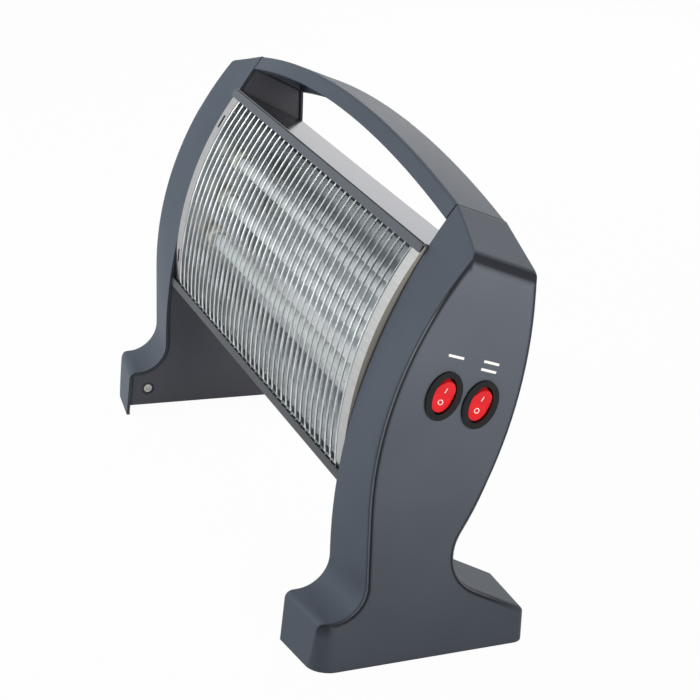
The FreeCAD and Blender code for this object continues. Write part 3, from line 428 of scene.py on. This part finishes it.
# %% [markdown]
# Switches are glossy: a black bezel and a red rocker of polished plastic. Even polished parts carry a
# little orange peel and some handling marks, which break up the highlight. The pale nylon of the
# terminal block and the soft black bush of the lead opening are duller relatives of the same recipe.

# %% glossy switch plastic
FLOW = 6 * MM
HANDLING_MARK = 0.8 * MM
ALONG_MARK = (1, 0.2, 1)


def glossy(name, deep, bright, roughness, wave_depth):
    """Polished plastic with a slight flow of its colour and faint handling marks."""
    polished = Finish(name, Specular_IOR_Level=0.16)
    flow = polished.mottle(FLOW)
    marks = polished.mottle(HANDLING_MARK, stretch=ALONG_MARK, detail=3.0)
    polished.feed(
        Base_Color=polished.blend(flow, deep, bright),
        Roughness=roughness + 0.12 * marks,
        Normal=polished.relief(flow, wave_depth),
    )
    return polished


bezel_black = glossy(
    "black_switch_plastic", deep=rgb(0.008, 0.008, 0.009), bright=rgb(0.016, 0.016, 0.017),
    roughness=0.16, wave_depth=0.05 * MM)
rocker_red = glossy(
    "red_rocker_plastic", deep=rgb(0.62, 0.013, 0.020), bright=rgb(0.72, 0.020, 0.028),
    roughness=0.14, wave_depth=0.05 * MM)
bush_rubber = glossy(
    "black_bush_rubber", deep=rgb(0.012, 0.012, 0.012), bright=rgb(0.022, 0.022, 0.022),
    roughness=0.5, wave_depth=0.1 * MM)
nylon = glossy(
    "pale_nylon", deep=rgb(0.62, 0.62, 0.58), bright=rgb(0.72, 0.72, 0.68),
    roughness=0.38, wave_depth=0.1 * MM)
print("glossy plastics:", *(part.material.name for part in (bezel_black, rocker_red, bush_rubber, nylon)))

# %% [markdown]
# Each solid now takes its finish. The names of the pieces are the names of their solids, so a short
# table from the start of a name to a finish is enough, and a piece that the table misses stops the run.
# The first start that fits counts, so a longer one stands before a shorter one that it begins with.

# %% dress the solids
FINISH_OF = {
    "casing": casing_plastic,
    "handle": casing_plastic,
    "cover_screws": zinc,
    "cover": cover_plastic,
    "top_rail": top_paint,
    "bottom_rail": shaded_low_paint,
    "rear_cover": rear_sheet,
    "reflector": reflector_sheet,
    "end_plate": plate_sheet,
    "plate_screws": zinc,
    "guard": guard_plating,
    "tube": quartz,
    "coil": zinc,
    "caps": ceramic,
    "terminals": zinc,
    "link_strip": zinc,
    "switch_tabs": zinc,
    "switch": bezel_black,
    "rocker": rocker_red,
    "terminal_block": nylon,
    "tip_switch": nylon,
    "cord_bush": bush_rubber,
}
for name, solid in nodes.items():
    start = next(start for start in FINISH_OF if name.startswith(start))
    for material_slot in solid.material_slots:
        material_slot.material = FINISH_OF[start].material
print("dressed", len(nodes), "solids")

# %% [markdown]
# A fine, pale bead runs down the outer edge of each casing, round the toe and round the heel. It is a
# painted highlight: the rounded edge shows a thin line of light there, and the bead and its paler plastic
# stand for it. It follows the solid, so a little walker finds its way: it steps along the surface just
# inside the rounded edge, drops back onto the solid, and notes the middle of the round.

# %% path along the outer edges
EDGE_ROUND = 4.0 * MM
BEAD_STEP = 2.0 * MM
BEAD_TOP = 248 * MM
HEEL_TOP = 120 * MM
TOE_END = 10 * MM
RAY_START = 1.0


def edge_path(tree, height, front):
    """Points down the middle of the outer round, from a height to the end of the toe or the heel."""
    low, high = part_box("casing_right")
    inside = high[0] - EDGE_ROUND
    bend = EDGE_ROUND * (1 - math.sqrt(0.5))
    side = 1 if front else -1
    last = low[1] + TOE_END if front else high[1] - TOE_END
    start = Vector((inside, -side * RAY_START, height))
    spot, facing, _, _ = tree.ray_cast(start, Vector((0, side, 0)))
    path = []
    while side * spot.y > side * last:
        outward = Vector((0, facing.y, facing.z)).normalized()
        middle = Vector((inside + EDGE_ROUND - bend, spot.y, spot.z)) - bend * outward
        path.append(tree.find_nearest(middle)[0])
        step = side * BEAD_STEP * Vector((0, -outward.z, outward.y))
        spot, facing, _, _ = tree.find_nearest(Vector((inside, spot.y, spot.z)) + step)
    return path


casing_tree = BVHTree.FromObject(nodes["casing_right"], bpy.context.evaluated_depsgraph_get())
paths = {
    "toe": edge_path(casing_tree, BEAD_TOP, front=True),
    "heel": edge_path(casing_tree, HEEL_TOP, front=False),
}
print("points on the way to each end:", {end: len(path) for end, path in paths.items()})

# %% [markdown]
# A bead could be swept as a mesh, but a curve with a round bevel draws it with less work. Each point of
# a curve has a radius of its own, so the ends of a bead taper off into the casing. The two casings are
# mirror images along this edge, so the path on the right one serves the left one as well.

# %% pale bead along the outer edges, a painted highlight
BEAD_RADIUS = 0.55 * MM
BEAD_ROUNDNESS = 2
TAPER_POINTS = 12

# Painted highlight: the bead's plastic is paler than the casing's.
highlight_bead_plastic = moulded(
    "highlight_bead_plastic", deep=rgb(0.125, 0.138, 0.162), pale=rgb(0.145, 0.158, 0.184),
    grain_depth=0.01 * MM, roughness=0.2)


def round_line(name, places, radius, roundness, finish):
    """A thin round line through some places."""
    line = bpy.data.curves.new(name, "CURVE")
    line.dimensions = "3D"
    line.bevel_depth = radius
    line.bevel_resolution = roundness
    line.use_fill_caps = True
    line.materials.append(finish.material)
    spline = line.splines.new("POLY")
    spline.points.add(len(places) - 1)
    for point, place in zip(spline.points, places):
        point.co = (*place, 1)
    drawn_line = bpy.data.objects.new(name, line)
    bpy.context.collection.objects.link(drawn_line)
    return drawn_line


def bead(name, path, radius, taper, finish):
    """A thin round line along a path, whose ends taper over some of its points."""
    ridge = round_line(name, path, radius, BEAD_ROUNDNESS, finish)
    last = len(path) - 1
    for number, point in enumerate(ridge.data.splines[0].points):
        point.radius = min(1, (min(number, last - number) + 1) / taper)
    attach(ridge, "heater")


for end, path in paths.items():
    mirrored = [Vector((-place.x, place.y, place.z)) for place in path]
    bead(f"{end}_highlight_bead_right", path, BEAD_RADIUS, TAPER_POINTS, highlight_bead_plastic)
    bead(f"{end}_highlight_bead_left", mirrored, BEAD_RADIUS, TAPER_POINTS, highlight_bead_plastic)
    print("beads drawn to the", end)

# %% [markdown]
# Where the rear cover starts behind the top rail, a thin line of shade shows in the narrow gap of the
# joint. A fine black cord along the cover's front edge stands for it as a painted shadow. The edge is
# found as the foremost corner of the cover's upper half.

# %% painted shadow in the joint of the rear cover
CORD_RADIUS = 0.6 * MM
CORD_END = 2 * MM

low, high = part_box("rear_cover")
turn = nodes["rear_cover"].matrix_world
corners = [turn @ vertex.co for vertex in nodes["rear_cover"].data.vertices]
upper = [corner for corner in corners if corner.z > (low[2] + high[2]) / 2]
edge = min(upper, key=lambda corner: corner.y)
ends = [Vector((low[0] + CORD_END, edge.y, edge.z)), Vector((high[0] - CORD_END, edge.y, edge.z))]
# Painted shadow: a black cord where the gap of the joint lies in shade.
bead("joint_shadow_cord", ends, CORD_RADIUS, taper=1, finish=bush_rubber)
print("joint at y and z in mm:", round(edge.y / MM, 1), round(edge.z / MM, 1))

# %% [markdown]
# Inside each tube a resistance wire is wound into a long coil. Its solid is a plain bar, which is
# enough for weight and touch, but behind milky glass the turns show as a soft ribbing. A helix is one
# formula, so the same round line draws it, and it takes the bar's place.

# %% wound coils
COIL_WIRE = 0.35 * MM
COIL_ROUNDNESS = 1
TURN_PITCH = 2.4 * MM
POINTS_A_TURN = 12

coil_wire = plated(
    "resistance_wire", dull=rgb(0.30, 0.28, 0.26), bright=rgb(0.46, 0.44, 0.42),
    smooth=0.3, rough=0.5, patch=5 * MM)


def wound_coil(name):
    """A helix along X in the space of a coil's plain bar."""
    low, high = (Vector(corner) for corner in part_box(name))
    middle = (low + high) / 2
    winding_radius = (high.y - low.y) / 2 - COIL_WIRE
    turns = int((high.x - low.x - 2 * COIL_WIRE) / TURN_PITCH)
    last = turns * POINTS_A_TURN
    helix = []
    for index in range(last + 1):
        turn = 2 * math.pi * index / POINTS_A_TURN
        along = middle.x + (index / last - 0.5) * turns * TURN_PITCH
        aside = middle.y + winding_radius * math.cos(turn)
        helix.append((along, aside, middle.z + winding_radius * math.sin(turn)))
    winding = round_line(f"{name}_winding", helix, COIL_WIRE, COIL_ROUNDNESS, coil_wire)
    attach(winding, "heater")
    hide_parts(name)
    return turns


for level in ("lower", "middle", "upper"):
    print("turns of the", level, "coil:", wound_coil(f"coil_{level}"))

# %% [markdown]
# The switches carry the signs that are usual everywhere: a bar for on, a ring for off, and above each
# switch one or two bars for its heat. They are pad-printed in white ink. The pad never presses quite
# evenly, so the ink has thin spots where it looks a little greyer.

# %% white ink
THIN_SPOT, THIN_SPOT_DEPTH = 0.4 * MM, 0.01 * MM
THIN_INK, FULL_INK = 0.3, 0.6

ink = Finish("white_pad_ink", Specular_IOR_Level=0.35)
thin_spots = ink.mottle(THIN_SPOT, detail=3.0)
cover = thin_spots.kept_in(THIN_INK, FULL_INK)
ink.feed(
    Base_Color=ink.blend(cover, rgb(0.70, 0.70, 0.70), rgb(0.86, 0.86, 0.85)),
    Roughness=0.4 + 0.2 * thin_spots,
    Normal=ink.relief(thin_spots, THIN_SPOT_DEPTH),
)
print("ink mixed:", ink.material.name)

# %% [markdown]
# Ink follows whatever it lands on. A picture on the material would need the rockers and the casing to
# be unwrapped, while dropping every corner of a flat sign onto the solid behind it gives the same. The
# film has a real thickness, with its root just under the surface, so that it stays above it.

# %% film of ink on a solid
INK_FILM = 0.12 * MM
INK_ROOT = 0.05 * MM
FAR_OUTSIDE = 0.1


def dropped(tree, spot):
    """The point and normal of the surface that lies behind a spot (y, z), seen from +X."""
    start = Vector((cad_high[0] + FAR_OUTSIDE, spot[0], spot[1]))
    point, normal, _, _ = tree.ray_cast(start, Vector((-1, 0, 0)))
    return point, normal


def printed(name, carrier, body, rows, closed=False):
    """A film of ink between two rows of spots (y, z), on a solid that rides on a body."""
    tree = BVHTree.FromObject(nodes[carrier], bpy.context.evaluated_depsgraph_get())
    count = len(rows[0])
    corners = []
    for row in rows:
        hits = [dropped(tree, spot) for spot in row]
        corners += [point - INK_ROOT * normal for point, normal in hits]
        corners += [point + INK_FILM * normal for point, normal in hits]
    starts = range(0, len(corners), count)
    low_root, low_top, high_root, high_top = (range(start, start + count) for start in starts)
    around = (low_top, high_top, high_root, low_root, low_top)
    faces = []
    for index in range(count if closed else count - 1):
        step = (index + 1) % count
        for first, second in zip(around, around[1:]):
            faces.append((first[index], first[step], second[step], second[index]))
    if not closed:
        for index in (0, count - 1):
            faces.append((low_root[index], low_top[index], high_top[index], high_root[index]))
    mesh = bpy.data.meshes.new(name)
    mesh.from_pydata(corners, [], faces)
    mesh.validate()
    mesh.materials.append(ink.material)
    film = bpy.data.objects.new(name, mesh)
    bpy.context.collection.objects.link(film)
    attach(film, body)


print("a film of ink stands", round(INK_FILM / MM, 2), "mm above its solid")

# %% [markdown]
# The switches lean forward with the casing, so their signs are laid out in a frame that leans too: one
# direction along the row of switches and one up along each rocker. Both directions come from the hinge
# of the rocker, whose axis is part of the frame.

# %% layout of the signs
MARK_STEPS = 7
RING_STEPS = 28

joints = {joint["child"]: joint for joint in frame["joints"]}


def switch_frame(body):
    """The middle of a rocker and the directions along its hinge and up its face, as (y, z) vectors."""
    joint = joints[body]
    axis = Vector(joint["axis"])
    across = -Vector((axis.y, axis.z)).normalized()
    upward = Vector((-across.y, across.x))
    return Vector(joint["pos_m"][1:]), across, upward


def bar_rows(centre, along, up, length, thickness):
    """Two rows of spots for a straight bar."""
    steps = [(step / (MARK_STEPS - 1) - 0.5) * length for step in range(MARK_STEPS)]
    return [[centre + along * step + up * side * thickness / 2 for step in steps] for side in (-1, 1)]


def ring_rows(centre, along, up, radius, thickness):
    """Two rows of spots for a ring."""
    turns = [2 * math.pi * step / RING_STEPS for step in range(RING_STEPS)]
    rings = (radius - thickness / 2, radius + thickness / 2)
    return [[centre + along * ring * math.cos(turn) + up * ring * math.sin(turn) for turn in turns]
            for ring in rings]


print("signs follow the hinges of", *sorted(joints))

# %% [markdown]
# On each rocker the bar for on lies in the upper half and the ring for off in the lower half. They ride
# on the rocker, so they tip with it. A sign in the material alone would need a painted picture.

# %% signs on the rockers
ON_LIFT, ON_LENGTH, ON_WIDTH = 3.8 * MM, 3.6 * MM, 0.55 * MM
OFF_DROP, OFF_RADIUS, OFF_WIDTH = 4.6 * MM, 1.55 * MM, 0.5 * MM

for body in ("rocker_front", "rocker_rear"):
    middle, across, upward = switch_frame(body)
    on_rows = bar_rows(middle + upward * ON_LIFT, upward, across, ON_LENGTH, ON_WIDTH)
    off_rows = ring_rows(middle - upward * OFF_DROP, across, upward, OFF_RADIUS, OFF_WIDTH)
    printed(f"{body}_on_sign", body, body, on_rows)
    printed(f"{body}_off_sign", body, body, off_rows, closed=True)
    print(body, "signs lie round", [round(value / MM, 1) for value in middle])

# %% [markdown]
# The bars for the heat are printed on the casing above each switch, one for the front switch and two
# for the rear one. The table says for each switch how many bars it has and how far aside and above its
# middle they start, and further bars follow downwards.

# %% heat bars above the switches
BAR_LENGTH = 10.7 * MM
BAR_THICKNESS = 1.6 * MM
BAR_GAP = 5.2 * MM
HEAT_BARS = (("front", 1, -1.1 * MM, 25.4 * MM), ("rear", 2, -2.5 * MM, 26.8 * MM))

for switch, bar_count, aside, lift in HEAT_BARS:
    middle, across, upward = switch_frame(f"rocker_{switch}")
    for number in range(bar_count):
        centre = middle + across * aside + upward * (lift - number * BAR_GAP)
        bar = bar_rows(centre, across, upward, BAR_LENGTH, BAR_THICKNESS)
        printed(f"heat_bar_{switch}_{number + 1}", "casing_right", "heater", bar)
    print("heat bars above the", switch, "switch:", bar_count)

# %% [markdown]
# A studio shot on white needs a floor that looks white but still keeps a trace of shadow. A floor lit
# until it is white would also burn out the plated wire. So the rays that the camera, the metal and the
# glass see get mostly plain white, and the rest of the light still meets a pale, matte floor.

# %% white floor
FLOOR_SIZE = 9.0
FLOOR_WHITE = 0.97
PAPER_CLOUDS = 0.4


def seen_rays(finish):
    """1 for the rays that show the surroundings to the camera, to metal and to glass."""
    kinds = ("Is Camera Ray", "Is Glossy Ray", "Is Transmission Ray")
    to_camera, to_metal, to_glass = (finish.add("ShaderNodeLightPath", output=kind) for kind in kinds)
    return (to_camera + to_metal + to_glass).kept_in(0, 1)


paper = Finish("studio_floor", Roughness=0.9)
paper_tone = paper.mottle(PAPER_CLOUDS)
paper.feed(Base_Color=paper.blend(paper_tone, rgb(0.84, 0.84, 0.84), rgb(0.88, 0.88, 0.88)))
white = paper.add("ShaderNodeEmission", sockets={"Color": rgb(1, 1, 1), "Strength": 1.0})
matte = Signal(paper, paper.shader.outputs[0])
shown = paper.add("ShaderNodeMixShader", sockets={0: seen_rays(paper) * FLOOR_WHITE, 1: matte, 2: white})
paper.tree.links.new(shown.socket, paper.tree.nodes["Material Output"].inputs["Surface"])

half = FLOOR_SIZE / 2
floor_corners = [(-half, -half, 0), (half, -half, 0), (half, half, 0), (-half, half, 0)]
floor_mesh = bpy.data.meshes.new("studio_floor")
floor_mesh.from_pydata(floor_corners, [], [(0, 1, 2, 3)])
floor_mesh.materials.append(paper.material)
floor = bpy.data.objects.new("studio_floor", floor_mesh)
bpy.context.collection.objects.link(floor)
floor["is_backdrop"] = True
print("floor laid,", FLOOR_SIZE, "m wide")

# %% [markdown]
# The world behind the floor follows the same plan: plain white where it is seen, and much weaker where
# it lights the heater, so that the soft boxes can shape it. A world has a node tree of its own, so a
# small class lets the helpers of a finish serve it.

# %% the world
AMBIENT = 0.24


class Sky(Finish):
    """The world, handled like a finish so that the same nodes serve it."""

    def __init__(self, name):
        world = bpy.data.worlds.new(name)
        world.use_nodes = True
        bpy.context.scene.world = world
        self.tree = world.node_tree
        self.shader = self.tree.nodes["Background"]


sky = Sky("white_surroundings")
sky.shader.inputs["Color"].default_value = rgb(1, 1, 1)
sky.shader.inputs["Strength"].default_value = AMBIENT
bright = sky.add("ShaderNodeBackground", sockets={"Color": rgb(1, 1, 1), "Strength": 1.0})
soft = Signal(sky, sky.shader.outputs[0])
around = sky.add("ShaderNodeMixShader", sockets={0: seen_rays(sky), 1: soft, 2: bright})
sky.tree.links.new(around.socket, sky.tree.nodes["World Output"].inputs["Surface"])
print("surroundings light the heater with a strength of", AMBIENT)

# %% [markdown]
# Soft boxes light the heater: a large weak one above, one by the side with the switches, a cool one in
# front of the guard and one behind the far end, so that no side is left dark. Small lamps would leave
# hard spots on the plastic, while large ones give the long, even highlights of the rounded edges.

# %% soft boxes
AIM = (0, 0, 0.15)
PLAIN, WARM, COOL = (1, 1, 1), (1, 0.94, 0.86), (0.88, 0.97, 1)


def soft_box(name, place, width, height, power, tone, aim=AIM, spread=180):
    """A lamp of a width and a height that looks at a place, with a grid that narrows its spread."""
    lamp = bpy.data.lights.new(name, "AREA")
    lamp.shape = "RECTANGLE"
    lamp.size = width
    lamp.size_y = height
    lamp.energy = power
    lamp.color = tone
    lamp.spread = math.radians(spread)
    stand = bpy.data.objects.new(name, lamp)
    stand.location = place
    stand.rotation_euler = (Vector(aim) - Vector(place)).to_track_quat("-Z", "Y").to_euler()
    stand.visible_camera = False
    bpy.context.collection.objects.link(stand)
    print(name, "gives", power, "W")


soft_box("top_box", place=(-0.3, 0.5, 1.7), width=1.2, height=1.2, power=0.7, tone=PLAIN)
soft_box("side_box", place=(0.78, 0.1, 0.38), width=0.4, height=0.3, power=1.0, tone=WARM,
         aim=(0.23, 0.05, 0.32), spread=75)
soft_box("front_box", place=(-0.6, -1.0, 0.72), width=0.4, height=1.1, power=11.5, tone=COOL)
soft_box("rear_box", place=(-1.2, 1.1, 0.55), width=0.8, height=0.5, power=4.5, tone=PLAIN)

# %% [markdown]
# The photograph was taken from the side with the switches, a little above the heater and with a long
# lens. The camera's place, its turn about its own axis and its lens were worked out from the heater's
# corners, so they are written as plain numbers here, with the small offset of the picture's middle.

# %% camera
VIEW_PIXELS = 700
SENSOR = 36.0
CAMERA_PLACE = Vector((1.3021, -0.4777, 0.6864))
AZIMUTH = math.radians(68.3)
ELEVATION = math.radians(22.13)
ROLL = math.radians(-2.01)
FOCAL_PIXELS = 2111.9
OFF_CENTRE = (-0.6, -2.0)

back = Vector((math.sin(AZIMUTH) * math.cos(ELEVATION), -math.cos(AZIMUTH) * math.cos(ELEVATION),
               math.sin(ELEVATION)))
level = Vector((math.cos(AZIMUTH), math.sin(AZIMUTH), 0))
upright = back.cross(level)
right = level * math.cos(ROLL) - upright * math.sin(ROLL)
up = upright * math.cos(ROLL) + level * math.sin(ROLL)

lens = bpy.data.cameras.new("photo_camera")
lens.sensor_width = SENSOR
lens.lens = SENSOR * FOCAL_PIXELS / VIEW_PIXELS
lens.shift_x, lens.shift_y = (offset / VIEW_PIXELS for offset in OFF_CENTRE)
camera = bpy.data.objects.new("photo_camera", lens)
camera.matrix_world = Matrix((right, up, back)).transposed().to_4x4()
camera.location = CAMERA_PLACE
bpy.context.collection.objects.link(camera)
bpy.context.scene.camera = camera
bpy.context.scene.view_settings.view_transform = "Standard"
print("lens in mm:", round(lens.lens, 1))
